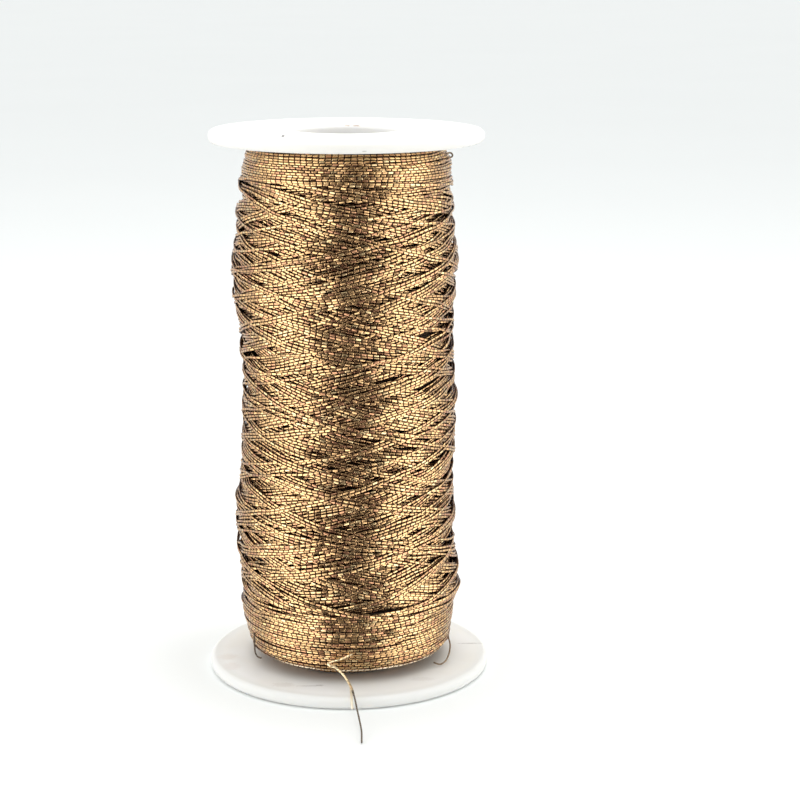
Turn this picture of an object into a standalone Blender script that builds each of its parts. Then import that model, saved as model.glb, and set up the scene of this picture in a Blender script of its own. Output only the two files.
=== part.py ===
"""Spool of metallic thread: a moulded plastic spool (a tube with two pressed-on
flanges), a cross-wound thread package on the tube, and the thread's loose end.

Metres, +Z up. The origin is the centre of the lower flange's outer face, and
+Z is the spool's axis. The loose end leaves towards -Y, the front.
"""

import math

import bmesh
import bpy
from mathutils import Matrix, Vector

MM = 0.001

# ---- driving dimensions, in millimetres -------------------------------------
HEIGHT = 88.0  # outer face to outer face
LOWER_FLANGE_RADIUS = 22.9  # the spool stands on the larger flange
UPPER_FLANGE_RADIUS = 21.7
FLANGE_THICKNESS = 2.0
RIM_ROUND = 0.9  # rounding of the flange's outer edge, nearly a full round
MOUTH_ROUND = 0.8  # rounding of the hole's mouth
BORE_RADIUS = 8.5  # through hole, for the spool pin
HUB_RADIUS = 9.8  # the flange's hub, which presses into the tube
HUB_LENGTH = 10.0
GAP = 0.3  # clearance that is left between touching pieces
BARREL_INNER_RADIUS = HUB_RADIUS + GAP
BARREL_WALL = 1.5
BARREL_OUTER_RADIUS = BARREL_INNER_RADIUS + BARREL_WALL

PACKAGE_BOTTOM = FLANGE_THICKNESS + GAP
PACKAGE_TOP = HEIGHT - FLANGE_THICKNESS - GAP
# The package's outer radius at stations up the axis: a rounded foot, a long
# nearly straight body with a slight waist, and a fuller band below the top.
PACKAGE_STATIONS = (
    (PACKAGE_BOTTOM, 12.4),
    (3.3, 13.8),
    (4.0, 15.5),
    (4.8, 16.3),
    (7.5, 17.0),
    (11.0, 17.4),
    (18.0, 17.7),
    (28.0, 17.5),
    (38.0, 17.2),
    (49.0, 17.1),
    (57.5, 17.4),
    (66.5, 18.1),
    (74.0, 17.5),
    (80.0, 17.2),
    (PACKAGE_TOP, 16.8),
)
PACKAGE_STEPS = 36  # rings up the package's outer surface

THREAD_DIAMETER = 0.38
TAIL_STANDOFF = GAP + THREAD_DIAMETER / 2 + 0.05  # axis of the tail above a surface
TAIL_WOUND = (  # its last wound stretch, as (degrees round from the front, height)
    (27.0, 8.1),
    (18.0, 8.0),
    (9.0, 7.8),
    (0.0, 6.9),
    (-2.0, 6.5),
    (-4.5, 6.15),
    (-7.0, 5.9),
)
TAIL_FREE = (  # the free stretch: a sharp bend back, over the lower flange, to the table
    (-3.0, -17.2, 5.95),
    (-3.4, -17.6, 5.8),
    (-3.0, -17.95, 5.55),
    (-2.2, -18.15, 5.35),
    (-1.5, -18.5, 4.85),
    (-0.95, -18.95, 4.4),
    (-0.45, -19.6, 3.9),
    (-0.05, -20.5, 3.5),
    (0.3, -21.6, 3.2),
    (0.55, -22.8, 2.9),
    (0.85, -24.4, 2.25),
    (1.15, -27.0, 1.65),
    (1.5, -30.0, 1.05),
    (1.75, -33.0, 0.65),
    (1.75, -36.6, 0.3),
)
TAIL_POINT_EVERY = 2.4 * THREAD_DIAMETER

SEGMENTS = 56  # round the axis, for the moulded pieces
PACKAGE_SEGMENTS = 48
ARC_STEPS = 3  # facets in a rounded corner


# ---- helpers -----------------------------------------------------------------
def clear_scene():
    for obj in list(bpy.data.objects):
        bpy.data.objects.remove(obj, do_unlink=True)


def plastic(name, colour, roughness, metallic=0.0):
    made = bpy.data.materials.new(name)
    made.use_nodes = True
    shader = made.node_tree.nodes["Principled BSDF"]
    shader.inputs["Base Color"].default_value = (*colour, 1.0)
    shader.inputs["Roughness"].default_value = roughness
    shader.inputs["Metallic"].default_value = metallic
    made.diffuse_color = (*colour, 1.0)
    return made


def rounded(corners):
    """The outline (radius, height) with each corner (radius, height, rounding) replaced by an arc."""
    points = []
    count = len(corners)
    for i, (r, z, rounding) in enumerate(corners):
        here = Vector((r, z))
        if not rounding:
            points.append(here)
            continue
        before = Vector(corners[i - 1][:2]) - here
        after = Vector(corners[(i + 1) % count][:2]) - here
        before.normalize()
        after.normalize()
        half = before.angle(after) / 2
        centre = here + (before + after).normalized() * (rounding / math.sin(half))
        start = here + before * (rounding / math.tan(half)) - centre
        end = here + after * (rounding / math.tan(half)) - centre
        sweep = start.angle_signed(end)
        for k in range(ARC_STEPS + 1):
            turned = start.copy()
            turned.rotate(Matrix.Rotation(-sweep * k / ARC_STEPS, 2))
            points.append(centre + turned)
    return points


def turned(name, outline, segments, material, parent):
    """A ring-shaped solid: the closed outline spun a full turn about the axis."""
    bm = bmesh.new()
    verts = [bm.verts.new((p[0] * MM, 0.0, p[1] * MM)) for p in outline]
    edges = [
        bm.edges.new((verts[i], verts[(i + 1) % len(verts)])) for i in range(len(verts))
    ]
    bmesh.ops.spin(
        bm,
        geom=verts + edges,
        cent=(0, 0, 0),
        axis=(0, 0, 1),
        angle=2 * math.pi,
        steps=segments,
        use_merge=True,
    )
    bmesh.ops.remove_doubles(bm, verts=bm.verts, dist=1e-7)
    bmesh.ops.recalc_face_normals(bm, faces=bm.faces)
    mesh = bpy.data.meshes.new(name)
    bm.to_mesh(mesh)
    bm.free()
    mesh.shade_smooth()
    mesh.set_sharp_from_angle(angle=math.radians(35))
    mesh.materials.append(material)
    obj = bpy.data.objects.new(name, mesh)
    bpy.context.scene.collection.objects.link(obj)
    obj.parent = parent
    return obj


def spline_at(points, t):
    """A smooth curve through the points (centripetal Catmull-Rom), t running 0 to len(points) - 1."""
    last = len(points) - 1
    i = min(int(t), last - 1)
    u = t - i
    p1, p2 = points[i], points[i + 1]
    p0 = points[i - 1] if i else p1 * 2 - p2
    p3 = points[i + 2] if i + 2 <= last else p2 * 2 - p1
    k0 = 0.0
    k1 = k0 + max((p1 - p0).length, 1e-9) ** 0.5
    k2 = k1 + max((p2 - p1).length, 1e-9) ** 0.5
    k3 = k2 + max((p3 - p2).length, 1e-9) ** 0.5
    k = k1 + (k2 - k1) * u
    a1 = p0 * ((k1 - k) / (k1 - k0)) + p1 * ((k - k0) / (k1 - k0))
    a2 = p1 * ((k2 - k) / (k2 - k1)) + p2 * ((k - k1) / (k2 - k1))
    a3 = p2 * ((k3 - k) / (k3 - k2)) + p3 * ((k - k2) / (k3 - k2))
    b1 = a1 * ((k2 - k) / (k2 - k0)) + a2 * ((k - k0) / (k2 - k0))
    b2 = a2 * ((k3 - k) / (k3 - k1)) + a3 * ((k - k1) / (k3 - k1))
    return b1 * ((k2 - k) / (k2 - k1)) + b2 * ((k - k1) / (k2 - k1))


def evenly(points, every):
    """Points about this far apart along the smooth curve through the given ones."""
    fine = [
        spline_at(points, j / 40) for j in range(40 * (len(points) - 1) + 1)
    ]
    along = [0.0]
    for a, b in zip(fine, fine[1:]):
        along.append(along[-1] + (b - a).length)
    count = max(2, round(along[-1] / every))
    made, j = [], 0
    for n in range(count + 1):
        want = along[-1] * n / count
        while j < len(along) - 2 and along[j + 1] < want:
            j += 1
        share = (want - along[j]) / (along[j + 1] - along[j])
        made.append(fine[j].lerp(fine[j + 1], min(1.0, max(0.0, share))))
    return made


# ---- shapes ------------------------------------------------------------------
def package_outer():
    """(radius, height) points up the package's outer surface, smooth through the stations."""
    through = [Vector((r, z)) for z, r in PACKAGE_STATIONS]
    return evenly(through, (PACKAGE_TOP - PACKAGE_BOTTOM) / PACKAGE_STEPS)


def package_radius(height):
    outer = package_outer()
    for low, high in zip(outer, outer[1:]):
        if low[1] <= height <= high[1]:
            share = (height - low[1]) / (high[1] - low[1])
            return low[0] + (high[0] - low[0]) * share
    return outer[0][0] if height < outer[0][1] else outer[-1][0]


def flange_outline(radius):
    """The moulding standing on its outer face at z 0, with the hub going up."""
    return rounded(
        [
            (BORE_RADIUS, 0.0, MOUTH_ROUND),
            (radius, 0.0, RIM_ROUND),
            (radius, FLANGE_THICKNESS, RIM_ROUND),
            (HUB_RADIUS, FLANGE_THICKNESS, 0.0),
            (HUB_RADIUS, FLANGE_THICKNESS + HUB_LENGTH, 0.3),
            (BORE_RADIUS, FLANGE_THICKNESS + HUB_LENGTH, 0.0),
        ]
    )


def tail_route():
    """Points of the loose end: its last wound stretch, then the free stretch."""
    route = []
    for degrees, height in TAIL_WOUND:
        angle = math.radians(degrees)
        radius = package_radius(height) + TAIL_STANDOFF
        route.append(
            Vector((radius * math.sin(angle), -radius * math.cos(angle), height))
        )
    return route + [Vector(p) for p in TAIL_FREE]


def thread_end(material, parent):
    curve = bpy.data.curves.new("thread_tail", "CURVE")
    curve.dimensions = "3D"
    curve.bevel_depth = THREAD_DIAMETER / 2 * MM
    curve.bevel_resolution = 2
    curve.use_fill_caps = True
    points = evenly(tail_route(), TAIL_POINT_EVERY)
    spline = curve.splines.new("POLY")
    spline.points.add(len(points) - 1)
    for made, p in zip(spline.points, points):
        made.co = (p.x * MM, p.y * MM, p.z * MM, 1.0)
    curve.materials.append(material)
    obj = bpy.data.objects.new("thread_tail", curve)
    bpy.context.scene.collection.objects.link(obj)
    obj.parent = parent
    return obj


def main():
    clear_scene()
    spool = bpy.data.objects.new("spool_of_thread", None)
    bpy.context.scene.collection.objects.link(spool)

    white = plastic("moulded_white_plastic", (0.86, 0.86, 0.84), 0.42)
    tube = plastic("tube_plastic", (0.80, 0.80, 0.78), 0.5)
    gold = plastic("metallic_thread", (0.55, 0.38, 0.17), 0.35, 0.9)
    strand = plastic("metallic_thread_end", (0.50, 0.34, 0.15), 0.35, 0.9)

    lower, upper = (
        flange_outline(radius) for radius in (LOWER_FLANGE_RADIUS, UPPER_FLANGE_RADIUS)
    )
    turned("bottom_flange", lower, SEGMENTS, white, spool)
    top = turned("top_flange", upper, SEGMENTS, white.copy(), spool)
    top.location = (0.0, 0.0, HEIGHT * MM)
    top.rotation_euler = (math.pi, 0.0, 0.0)

    low, high = PACKAGE_BOTTOM, PACKAGE_TOP
    turned(
        "barrel",
        rounded(
            [
                (BARREL_INNER_RADIUS, low, 0.0),
                (BARREL_OUTER_RADIUS, low, 0.0),
                (BARREL_OUTER_RADIUS, high, 0.0),
                (BARREL_INNER_RADIUS, high, 0.0),
            ]
        ),
        SEGMENTS,
        tube,
        spool,
    )

    inner = BARREL_OUTER_RADIUS + GAP
    outline = [Vector((inner, low))] + package_outer() + [Vector((inner, high))]
    turned("thread_winding", outline, PACKAGE_SEGMENTS, gold, spool)
    thread_end(strand, spool)


main()
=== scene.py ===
"""The looks of the spool of thread: every strand of the outer layers of the
package is laid down as real geometry, the flanges are finished mouldings, and
the loose end is a cord. Metres, +Z up, the same frame as the CAD."""

import math

import bmesh
import bpy
import numpy as np
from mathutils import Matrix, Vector


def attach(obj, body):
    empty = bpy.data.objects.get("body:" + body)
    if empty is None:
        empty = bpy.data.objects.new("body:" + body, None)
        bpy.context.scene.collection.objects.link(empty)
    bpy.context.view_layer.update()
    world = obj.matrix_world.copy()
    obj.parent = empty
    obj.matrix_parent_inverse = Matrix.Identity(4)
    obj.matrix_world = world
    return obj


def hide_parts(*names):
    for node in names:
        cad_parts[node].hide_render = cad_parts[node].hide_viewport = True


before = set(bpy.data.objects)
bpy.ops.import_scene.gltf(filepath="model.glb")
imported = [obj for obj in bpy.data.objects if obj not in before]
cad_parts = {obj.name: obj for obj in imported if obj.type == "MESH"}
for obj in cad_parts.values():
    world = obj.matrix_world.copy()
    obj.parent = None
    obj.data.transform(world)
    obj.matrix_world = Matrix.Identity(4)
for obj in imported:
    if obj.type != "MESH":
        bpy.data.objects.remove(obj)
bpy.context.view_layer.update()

MM = 0.001
TWO_PI = 2.0 * math.pi

# ------------------------------------------------------------------ sizes, mm
HEIGHT = 88.0
LOWER_FLANGE_RADIUS = 22.9
UPPER_FLANGE_RADIUS = 21.7
FLANGE_THICKNESS = 2.0
RIM_ROUND = 0.9
MOUTH_ROUND = 0.8
BORE_RADIUS = 8.5
HUB_RADIUS = 9.8
HUB_LENGTH = 10.0
BARREL_OUTER = 11.6
PACKAGE_BOTTOM = 2.3
PACKAGE_TOP = 85.7

STRAND = 0.40  # wound strand's width
STRAND_FLAT = 0.36  # and its thickness, pressed flat by the winding tension
TAIL_D = 0.38
BRICK = 0.98  # length of one visible foil segment along the strand

# The package's outer radius at the left and the right of the front view, by
# height. The winding isn't quite round: it is fuller on one side in places.
OUTLINE = np.array(
    [
        # height, left, right
        (2.3, 12.00, 12.10),
        (3, 12.60, 12.70),
        (3.5, 13.60, 13.70),
        (3.9, 15.10, 15.25),
        (4.25, 15.80, 15.95),
        (4.8, 16.15, 16.30),
        (6, 16.45, 16.55),
        (8, 16.95, 16.90),
        (11.5, 17.45, 17.40),
        (15.5, 17.45, 17.89),
        (17.5, 17.60, 17.65),
        (21.5, 18.02, 17.16),
        (27.5, 18.18, 17.05),
        (31.5, 17.60, 16.80),
        (37.5, 17.05, 17.10),
        (45.5, 16.82, 17.26),
        (51.5, 16.68, 16.73),
        (55.5, 17.13, 16.72),
        (59.5, 17.57, 16.68),
        (63.5, 17.97, 17.20),
        (66.5, 18.20, 17.35),
        (69.5, 17.94, 17.14),
        (72.5, 17.31, 16.86),
        (77.5, 16.88, 16.66),
        (81.5, 16.48, 16.45),
        (83.5, 16.05, 16.15),
        (84.8, 15.80, 15.70),
        (85.3, 15.35, 15.35),
        (85.7, 14.40, 14.60),
    ]
)

rng = np.random.default_rng(20260417)


# ------------------------------------------------------------- small helpers
def new_object(name, mesh, body="root"):
    obj = bpy.data.objects.new(name, mesh)
    bpy.context.scene.collection.objects.link(obj)
    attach(obj, body)
    return obj


def fast_mesh(name, verts, quads, uvs=None, extra=()):
    """A mesh from arrays: verts (n, 3), quads (m, 4), uvs {layer: (m, 4, 2)}, extra [(polygon, uv)] for caps."""
    mesh = bpy.data.meshes.new(name)
    mesh.vertices.add(len(verts))
    mesh.vertices.foreach_set("co", np.asarray(verts, np.float32).ravel())
    caps = [list(c) for c in extra]
    loops = np.concatenate(
        [np.asarray(quads, np.int32).ravel()]
        + [np.asarray(c, np.int32) for c in caps]
    )
    sizes = np.concatenate(
        [np.full(len(quads), 4, np.int32), np.array([len(c) for c in caps], np.int32)]
    )
    mesh.loops.add(len(loops))
    mesh.loops.foreach_set("vertex_index", loops)
    mesh.polygons.add(len(sizes))
    starts = np.concatenate([[0], np.cumsum(sizes)[:-1]]).astype(np.int32)
    mesh.polygons.foreach_set("loop_start", starts)
    mesh.polygons.foreach_set("loop_total", sizes)
    mesh.polygons.foreach_set("use_smooth", np.ones(len(sizes), bool))
    mesh.update(calc_edges=True)
    for layer, values in (uvs or {}).items():
        made = mesh.uv_layers.new(name=layer)
        flat = np.zeros((len(loops), 2), np.float32)
        flat[: len(quads) * 4] = np.asarray(values, np.float32).reshape(-1, 2)
        at = len(quads) * 4
        for c in caps:  # a cap takes the coordinate of the ring that it closes
            flat[at : at + len(c)] = flat[at - 1 if at > len(quads) * 4 else 0]
            at += len(c)
        made.uv.foreach_set("vector", flat.ravel())
    mesh.validate(clean_customdata=False)
    return mesh


def catmull(points, count):
    """count points along a smooth centripetal curve through the given ones, evenly spaced by length."""
    pts = np.asarray(points, float)
    ends = np.vstack([2 * pts[0] - pts[1], pts, 2 * pts[-1] - pts[-2]])
    fine = []
    for i in range(len(pts) - 1):
        p0, p1, p2, p3 = ends[i], ends[i + 1], ends[i + 2], ends[i + 3]
        k0 = 0.0
        k1 = k0 + max(np.linalg.norm(p1 - p0), 1e-9) ** 0.5
        k2 = k1 + max(np.linalg.norm(p2 - p1), 1e-9) ** 0.5
        k3 = k2 + max(np.linalg.norm(p3 - p2), 1e-9) ** 0.5
        k = (k1 + (k2 - k1) * np.arange(40) / 40)[:, None]
        a1 = p0 * ((k1 - k) / (k1 - k0)) + p1 * ((k - k0) / (k1 - k0))
        a2 = p1 * ((k2 - k) / (k2 - k1)) + p2 * ((k - k1) / (k2 - k1))
        a3 = p2 * ((k3 - k) / (k3 - k2)) + p3 * ((k - k2) / (k3 - k2))
        b1 = a1 * ((k2 - k) / (k2 - k0)) + a2 * ((k - k0) / (k2 - k0))
        b2 = a2 * ((k3 - k) / (k3 - k1)) + a3 * ((k - k1) / (k3 - k1))
        fine.append(b1 * ((k2 - k) / (k2 - k1)) + b2 * ((k - k1) / (k2 - k1)))
    fine = np.vstack(fine + [pts[-1:]])
    along = np.concatenate(
        [[0], np.cumsum(np.linalg.norm(np.diff(fine, axis=0), axis=1))]
    )
    want = np.linspace(0, along[-1], count)
    return np.stack([np.interp(want, along, fine[:, k]) for k in range(3)], 1)


def monotone(x, xs, ys):
    """Smooth interpolation that doesn't overshoot (Fritsch-Carlson)."""
    xs, ys = np.asarray(xs, float), np.asarray(ys, float)
    h = np.diff(xs)
    s = np.diff(ys) / h
    m = np.zeros(len(xs))
    m[1:-1] = np.where(
        s[:-1] * s[1:] > 0, 2 * s[:-1] * s[1:] / np.where(s[:-1] + s[1:] == 0, 1, s[:-1] + s[1:]), 0
    )
    m[0], m[-1] = s[0], s[-1]
    x = np.clip(x, xs[0], xs[-1])
    i = np.clip(np.searchsorted(xs, x) - 1, 0, len(xs) - 2)
    t = (x - xs[i]) / h[i]
    return (
        (2 * t**3 - 3 * t**2 + 1) * ys[i]
        + (t**3 - 2 * t**2 + t) * h[i] * m[i]
        + (-2 * t**3 + 3 * t**2) * ys[i + 1]
        + (t**3 - t**2) * h[i] * m[i + 1]
    )


def package_radius(z, azimuth=None):
    """The package's outer radius, mm. azimuth 0 is the front (-Y), pi/2 the right (+X)."""
    left = monotone(z, OUTLINE[:, 0], OUTLINE[:, 1])
    right = monotone(z, OUTLINE[:, 0], OUTLINE[:, 2])
    if azimuth is None:
        return (left + right) / 2
    wobble = (
        0.10 * np.sin(2 * azimuth + z * 0.11)
        + 0.12 * np.sin(3 * azimuth - z * 0.41 + 1.0)
        + 0.15 * np.sin(4 * azimuth + z * 0.57 + 2.2)
        + 0.09 * np.sin(7 * azimuth - z * 0.83)
    ) * np.clip((z - 4) / 8, 0, 1)
    return (
        (left + right) / 2
        + (right - left) / 2 * np.sin(azimuth)
        + wobble * (1 - np.sin(azimuth) ** 2)
    )


# ------------------------------------------------------------ shader helpers
class Nodes:
    """Short calls that build one material's node tree."""

    def __init__(self, name):
        self.material = bpy.data.materials.new(name)
        self.material.use_nodes = True
        self.tree = self.material.node_tree
        self.shader = self.tree.nodes["Principled BSDF"]

    def add(self, kind, **settings):
        node = self.tree.nodes.new(kind)
        for key, value in settings.items():
            setattr(node, key, value)
        return node

    def link(self, a, b):
        self.tree.links.new(a, b)

    def put(self, socket, value):
        if isinstance(value, bpy.types.NodeSocket):
            self.link(value, socket)
        else:
            socket.default_value = value

    def math(self, operation, a, b=None, c=None, clamp=False):
        node = self.add("ShaderNodeMath", operation=operation, use_clamp=clamp)
        for socket, value in zip(node.inputs, (a, b, c)):
            if value is not None:
                self.put(socket, value)
        return node.outputs[0]

    def ramp(self, value, a, b, low=0.0, high=1.0, smooth=True):
        node = self.add(
            "ShaderNodeMapRange",
            interpolation_type="SMOOTHSTEP" if smooth else "LINEAR",
        )
        self.put(node.inputs["Value"], value)
        for key, v in (("From Min", a), ("From Max", b), ("To Min", low), ("To Max", high)):
            self.put(node.inputs[key], v)
        return node.outputs["Result"]

    def mix(self, factor, a, b, blend="MIX"):
        node = self.add("ShaderNodeMix", data_type="RGBA", blend_type=blend)
        self.put(node.inputs["Factor"], factor)
        self.put(node.inputs[6], a if not isinstance(a, tuple) else (*a, 1.0))
        self.put(node.inputs[7], b if not isinstance(b, tuple) else (*b, 1.0))
        return node.outputs[2]

    def noise(self, vector, scale, detail=2.0, rough=0.5, dims="3D"):
        node = self.add("ShaderNodeTexNoise", noise_dimensions=dims)
        self.link(vector, node.inputs["Vector"])
        node.inputs["Scale"].default_value = scale
        node.inputs["Detail"].default_value = detail
        node.inputs["Roughness"].default_value = rough
        return node.outputs["Fac"]

    def bump(self, height, distance, strength=1.0, normal=None):
        node = self.add("ShaderNodeBump")
        node.inputs["Distance"].default_value = distance
        node.inputs["Strength"].default_value = strength
        self.link(height, node.inputs["Height"])
        if normal is not None:
            self.link(normal, node.inputs["Normal"])
        return node.outputs["Normal"]


# ------------------------------------------------------------------ materials
def thread_material(name, dim=1.0):
    """Foil-wrapped thread. The UV layer Thread holds (segments along the strand, turns round it)."""
    n = Nodes(name)
    uv = n.add("ShaderNodeUVMap", uv_map="Thread").outputs["UV"]
    split = n.add("ShaderNodeSeparateXYZ")
    n.link(uv, split.inputs[0])
    u, v = split.outputs[0], split.outputs[1]
    # the seam between two turns of foil leans a little, and the lean drifts along the strand
    lean = n.math(
        "MULTIPLY",
        n.math("COSINE", n.math("ADD", n.math("MULTIPLY", v, TWO_PI), n.math("MULTIPLY", u, 0.31))),
        0.085,
    )
    w = n.math("ADD", u, lean)
    part = n.math("FRACT", w)
    index = n.math("FLOOR", w)
    edge = n.math("MINIMUM", part, n.math("SUBTRACT", 1.0, part))
    noise = n.add("ShaderNodeTexWhiteNoise", noise_dimensions="1D")
    n.link(index, noise.inputs["W"])
    rnd = n.add("ShaderNodeSeparateColor")
    n.link(noise.outputs["Color"], rnd.inputs[0])
    r1, r2, r3 = rnd.outputs[0], rnd.outputs[1], rnd.outputs[2]
    # the strand's sides, where it meets the rows beside it, are painted dark: partly the dark core yarn where the foil
    # doesn't reach, mostly painted shade between the rows
    side = n.math("ABSOLUTE", n.math("SINE", n.math("MULTIPLY", v, TWO_PI)))
    seam = n.math(
        "MAXIMUM", n.ramp(edge, 0.055, 0.14, 1.0, 0.0), n.ramp(side, 0.42, 0.80, 0.0, 1.0)
    )

    foil = n.mix(r1, (0.89, 0.585, 0.275), (0.73, 0.44, 0.21))
    foil = n.mix(n.ramp(r2, 0.76, 0.92), foil, (0.70, 0.37, 0.20))
    foil = n.mix(n.ramp(r3, 0.84, 0.98), foil, (0.90, 0.68, 0.36))
    # fine lengthways streaks of the film
    streak = n.add("ShaderNodeTexNoise", noise_dimensions="2D")
    stretch = n.add("ShaderNodeMapping")
    stretch.inputs["Scale"].default_value = (1.3, 26.0, 1.0)
    n.link(uv, stretch.inputs["Vector"])
    n.link(stretch.outputs[0], streak.inputs["Vector"])
    streak.inputs["Scale"].default_value = 1.0
    streak.inputs["Detail"].default_value = 3.0
    foil = n.mix(
        n.ramp(streak.outputs["Fac"], 0.52, 0.72, 0.0, 0.35), foil, (0.42, 0.25, 0.11)
    )
    # the seams show the dark core yarn; the dark sides mixed in with them are painted shade between the rows
    colour = n.mix(seam, foil, (0.042, 0.014, 0.009))
    n.link(colour, n.shader.inputs["Base Color"])
    n.shader.inputs["Metallic"].default_value = 1.0
    n.link(
        n.math("ADD", n.math("MULTIPLY_ADD", r2, 0.10, 0.20), n.math("MULTIPLY", seam, 0.08)),
        n.shader.inputs["Roughness"],
    )
    # each segment is a little cushion, tilted its own way
    crown = n.ramp(edge, 0.0, 0.22, 0.0, 1.0)
    noise = n.add("ShaderNodeTexWhiteNoise", noise_dimensions="1D")
    n.link(n.math("ADD", index, 0.37), noise.inputs["W"])
    turned = n.add("ShaderNodeSeparateColor")
    n.link(noise.outputs["Color"], turned.inputs[0])

    def most_near_none(value):
        """0..1 to -1..1, most of it small and a little of it large."""
        t = n.math("MULTIPLY_ADD", value, 2.0, -1.0)
        return n.math("MULTIPLY", t, n.math("MULTIPLY_ADD", n.math("MULTIPLY", t, t), 0.7, 0.3))

    tilt = n.math("MULTIPLY", most_near_none(turned.outputs[0]), n.math("SUBTRACT", part, 0.5))
    roll = n.math(
        "MULTIPLY", most_near_none(turned.outputs[1]), n.math("SUBTRACT", n.math("FRACT", v), 0.5)
    )
    height = n.math("ADD", n.math("MULTIPLY", crown, 0.55), n.math("MULTIPLY", tilt, 4.9))
    height = n.math("ADD", height, n.math("MULTIPLY", roll, 5.0))
    height = n.math("ADD", height, n.math("MULTIPLY", streak.outputs["Fac"], 0.35))
    n.link(n.bump(height, 0.00006, 0.9), n.shader.inputs["Normal"])
    n.material.diffuse_color = (0.6, 0.42, 0.2, 1)
    return n.material


def painted_shade_core_material():
    """The inner layers, seen only in the gaps, painted near black and dark brown: painted shade for the thread deep in
    the package.
    """
    n = Nodes("inner_layers_painted_shade")
    pos = n.add("ShaderNodeNewGeometry").outputs["Position"]
    split = n.add("ShaderNodeSeparateXYZ")
    n.link(pos, split.inputs[0])
    slow = n.noise(pos, 90.0, 2.0)
    rows = n.math(
        "SINE",
        n.math(
            "ADD",
            n.math("MULTIPLY", split.outputs[2], TWO_PI / 0.00044),
            n.math("MULTIPLY", slow, 9.0),
        ),
    )
    fleck = n.noise(pos, 1500.0, 1.0)
    colour = n.mix(n.ramp(rows, -0.3, 1.0), (0.014, 0.006, 0.004), (0.12, 0.062, 0.028))
    colour = n.mix(n.ramp(fleck, 0.55, 0.7, 0.0, 0.6), colour, (0.05, 0.02, 0.01))
    n.link(colour, n.shader.inputs["Base Color"])
    n.shader.inputs["Roughness"].default_value = 0.55
    n.shader.inputs["Metallic"].default_value = 0.35
    n.link(n.bump(rows, 0.00015, 0.8), n.shader.inputs["Normal"])
    return n.material


def plastic_material(name, tint, specks=0.42, marks=(), mottle=1.0, gloss=0.5, rings=()):
    """marks: [(place in mm, size in mm along x, y, z, colour, strength)], small stains and scratches, and a few dark
    marks of painted shade.
    rings: [(radius, radius, strength, strength, colour)], painted shade: a darker tone that changes between two radii
    in mm."""
    n = Nodes(name)
    pos = n.add("ShaderNodeNewGeometry").outputs["Position"]
    cloud = n.noise(pos, 60.0, 3.0)
    fine = n.noise(pos, 900.0, 2.0)
    base = n.mix(
        n.ramp(cloud, 0.3, 0.75),
        tint,
        tuple(c * (1 - mottle * k) for c, k in zip(tint, (0.035, 0.045, 0.07))),
    )
    if specks:
        cells = n.add("ShaderNodeTexVoronoi", feature="F1")
        n.link(pos, cells.inputs["Vector"])
        cells.inputs["Scale"].default_value = 330.0
        pick = n.add("ShaderNodeSeparateColor")
        n.link(cells.outputs["Color"], pick.inputs[0])
        dot = n.math(
            "MULTIPLY",
            n.ramp(cells.outputs["Distance"], 0.05, 0.13, 1.0, 0.0),
            n.ramp(pick.outputs[0], 0.90, 0.93),
        )
        base = n.mix(n.math("MULTIPLY", dot, specks), base, (0.30, 0.25, 0.17))
    # painted shade by radius: the tone darkens between the two radii
    for near, far, low, high, colour in rings:
        flat = n.add("ShaderNodeVectorMath", operation="MULTIPLY")
        n.link(pos, flat.inputs[0])
        flat.inputs[1].default_value = (1.0, 1.0, 0.0)
        out = n.add("ShaderNodeVectorMath", operation="LENGTH")
        n.link(flat.outputs[0], out.inputs[0])
        base = n.mix(n.ramp(out.outputs["Value"], near * MM, far * MM, low, high), base, colour)
    ragged = n.noise(pos, 2600.0, 2.0)
    for place, size, colour, strength in marks:
        off = n.add("ShaderNodeVectorMath", operation="SUBTRACT")
        n.link(pos, off.inputs[0])
        off.inputs[1].default_value = tuple(c * MM for c in place)
        part = n.add("ShaderNodeVectorMath", operation="DIVIDE")
        n.link(off.outputs[0], part.inputs[0])
        part.inputs[1].default_value = tuple(c * MM for c in size)
        far = n.add("ShaderNodeVectorMath", operation="LENGTH")
        n.link(part.outputs[0], far.inputs[0])
        edge = n.math("ADD", far.outputs["Value"], n.math("MULTIPLY_ADD", ragged, 1.2, -0.6))
        base = n.mix(n.ramp(edge, 0.5, 1.1, strength, 0.0), base, colour)
    n.link(base, n.shader.inputs["Base Color"])
    n.link(n.ramp(cloud, 0.3, 0.7, 0.36, 0.50), n.shader.inputs["Roughness"])
    n.shader.inputs["Specular IOR Level"].default_value = gloss
    n.shader.inputs["Subsurface Weight"].default_value = 0.35
    n.shader.inputs["Subsurface Radius"].default_value = (1.0, 0.95, 0.85)
    n.shader.inputs["Subsurface Scale"].default_value = 0.0020
    n.shader.inputs["IOR"].default_value = 1.5
    height = n.math("ADD", n.math("MULTIPLY", cloud, 0.7), n.math("MULTIPLY", fine, 0.12))
    n.link(n.bump(height, 0.00006, 0.5), n.shader.inputs["Normal"])
    return n.material


def floor_material():
    n = Nodes("pale_floor")
    pos = n.add("ShaderNodeNewGeometry").outputs["Position"]
    n.link(
        n.mix(n.noise(pos, 6.0, 2.0), (0.893, 0.91, 0.906), (0.912, 0.93, 0.925)),
        n.shader.inputs["Base Color"],
    )
    n.shader.inputs["Roughness"].default_value = 0.65
    n.shader.inputs["Specular IOR Level"].default_value = 0.25
    return n.material


# --------------------------------------------------------------------- camera
def make_camera():
    data = bpy.data.cameras.new("camera")
    data.sensor_width = 36.0
    data.lens = 2026.5 / 800.0 * 36.0
    data.clip_start, data.clip_end = 0.01, 100.0
    cam = bpy.data.objects.new("camera", data)
    bpy.context.scene.collection.objects.link(cam)
    cam.location = (0.0, -0.3197, 0.1155)
    cam.rotation_euler = (math.pi / 2 - 0.2191, 0.0, -0.0263)
    bpy.context.scene.camera = cam
    return cam


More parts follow.
